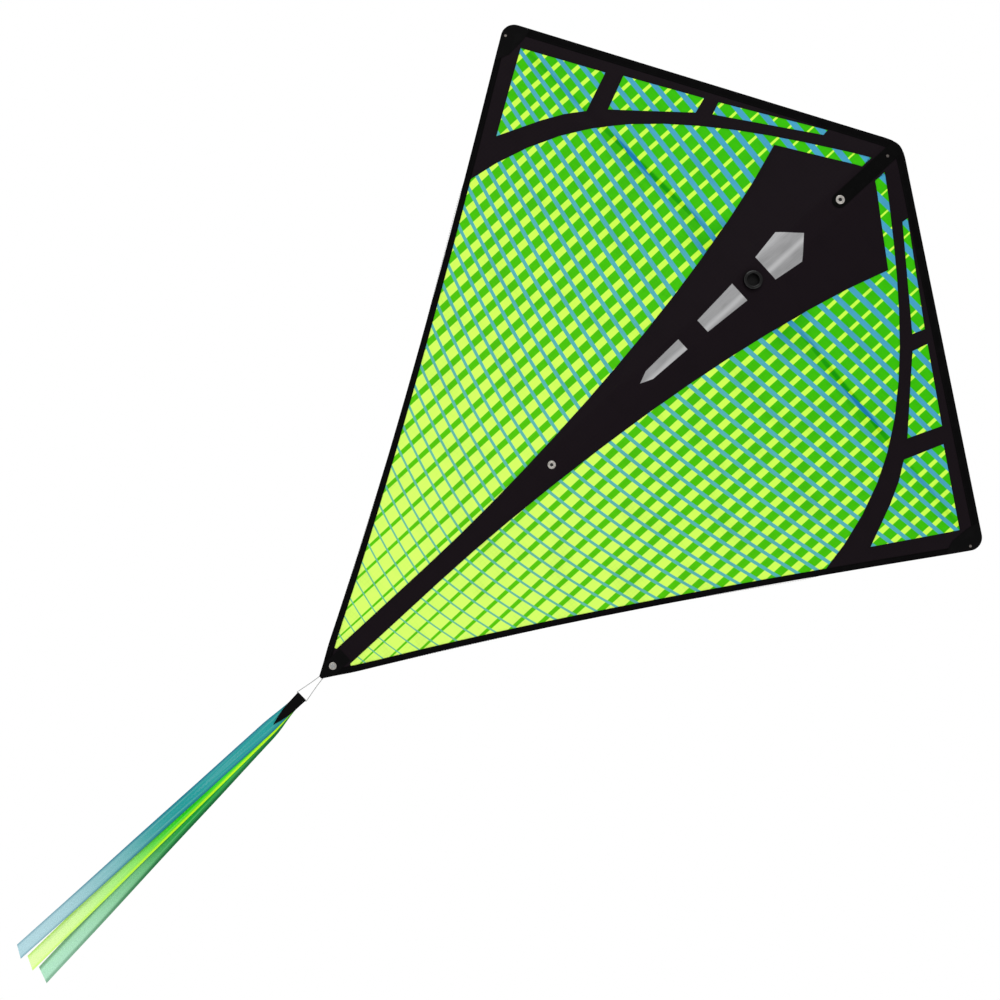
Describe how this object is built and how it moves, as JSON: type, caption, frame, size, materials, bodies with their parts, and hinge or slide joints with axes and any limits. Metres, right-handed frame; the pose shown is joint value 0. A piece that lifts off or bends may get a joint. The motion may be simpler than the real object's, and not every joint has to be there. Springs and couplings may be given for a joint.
{
  "type": "diamond kite",
  "caption": "Single-line diamond kite with a black and plaid cloth sail on a folding rod cross, bridle eyelets, a round front hub and a short ribbon tail.",
  "frame": {"origin": "centre of the front hub ring in the plane of the cloth, where the spine and the two spreader rods cross", "axes": "+Z along the spine towards the nose, -Y out of the printed front, +X towards the right wing seen from the front"},
  "size_m": [0.9192, 0.1064, 1.5153],
  "materials": {
    "black_cloth": "coated ripstop",
    "plaid_cloth": "printed ripstop",
    "black_hem": "folded and sewn",
    "black_patch": "heavy woven",
    "black_webbing": "woven tape",
    "carbon_rod": "satin fibre composite",
    "ferrule_metal": "satin",
    "black_moulding": "moulded",
    "gloss_ring": "glossy",
    "pin_steel": "ground",
    "nickel": "nickel plated",
    "grey_cord": "braided",
    "teal_ribbon": "ripstop",
    "lime_ribbon": "ripstop",
    "green_ribbon": "ripstop"
  },
  "bodies": {
    "spine": {"upper_spine_rod": "carbon_rod", "lower_spine_rod": "carbon_rod", "spine_ferrule": "ferrule_metal", "nose_end_cap": "black_moulding", "tail_end_cap": "black_moulding", "hub_body": "black_moulding", "hub_front_ring": "gloss_ring", "hub_hinge_pins": "pin_steel", "centre_panel": "black_cloth", "nose_strap": "black_webbing", "nose_rivet": "nickel", "upper_bridle_eyelet": "nickel", "lower_bridle_eyelet": "nickel", "spine_keeper": "black_webbing", "tail_patch": "black_patch", "tail_eyelet": "nickel", "tail_pocket": "black_webbing"},
    "left_wing": {"left_sail_frame_panel": "black_cloth", "left_main_window_panel": "plaid_cloth", "left_inner_window_panel": "plaid_cloth", "left_middle_window_panel": "plaid_cloth", "left_tip_window_panel": "plaid_cloth", "left_leading_edge_hem": "black_hem", "left_trailing_edge_binding": "black_hem", "left_spreader_rod": "carbon_rod", "left_socket_arm": "black_moulding", "left_tip_cap": "black_moulding", "left_tip_pocket": "black_webbing", "left_tip_patch": "black_patch", "left_tip_rivet": "nickel"},
    "right_wing": {"right_sail_frame_panel": "black_cloth", "right_main_window_panel": "plaid_cloth", "right_inner_window_panel": "plaid_cloth", "right_middle_window_panel": "plaid_cloth", "right_tip_window_panel": "plaid_cloth", "right_leading_edge_hem": "black_hem", "right_trailing_edge_binding": "black_hem", "right_spreader_rod": "carbon_rod", "right_socket_arm": "black_moulding", "right_tip_cap": "black_moulding", "right_tip_pocket": "black_webbing", "right_tip_patch": "black_patch", "right_tip_rivet": "nickel"},
    "tail_cord_loop": {"tail_cord": "grey_cord"},
    "tail_header_tab": {"tail_header": "black_webbing"},
    "teal_ribbon": {"teal_streamer": "teal_ribbon"},
    "lime_ribbon": {"lime_streamer": "lime_ribbon"},
    "green_ribbon": {"green_streamer": "green_ribbon"}
  },
  "joints": [
    {"name": "left_wing_fold", "type": "hinge", "parent": "spine", "child": "left_wing", "pos_m": [-0.014, 0.004, 0], "axis": [0, 0, -1], "range_deg": [-12, 75]},
    {"name": "right_wing_fold", "type": "hinge", "parent": "spine", "child": "right_wing", "pos_m": [0.014, 0.004, 0], "axis": [0, 0, 1], "range_deg": [-12, 75]},
    {"name": "tail_swing", "type": "hinge", "parent": "spine", "child": "tail_cord_loop", "pos_m": [0, 0, -0.729], "axis": [0, 1, 0], "range_deg": [-35, 35]},
    {"name": "header_sway", "type": "hinge", "parent": "tail_cord_loop", "child": "tail_header_tab", "pos_m": [0.00191, 0, -0.78357], "axis": [0.9994, 0, 0.0349], "range_deg": [-70, 70]},
    {"name": "teal_fan", "type": "hinge", "parent": "tail_header_tab", "child": "teal_ribbon", "pos_m": [0.00223, 0, -0.79296], "axis": [0, 1, 0], "range_deg": [-12, 12]},
    {"name": "lime_fan", "type": "hinge", "parent": "tail_header_tab", "child": "lime_ribbon", "pos_m": [0.00223, 0, -0.79296], "axis": [0, 1, 0], "range_deg": [-12, 12]},
    {"name": "green_fan", "type": "hinge", "parent": "tail_header_tab", "child": "green_ribbon", "pos_m": [0.00223, 0, -0.79296], "axis": [0, 1, 0], "range_deg": [-12, 12]}
  ]
}
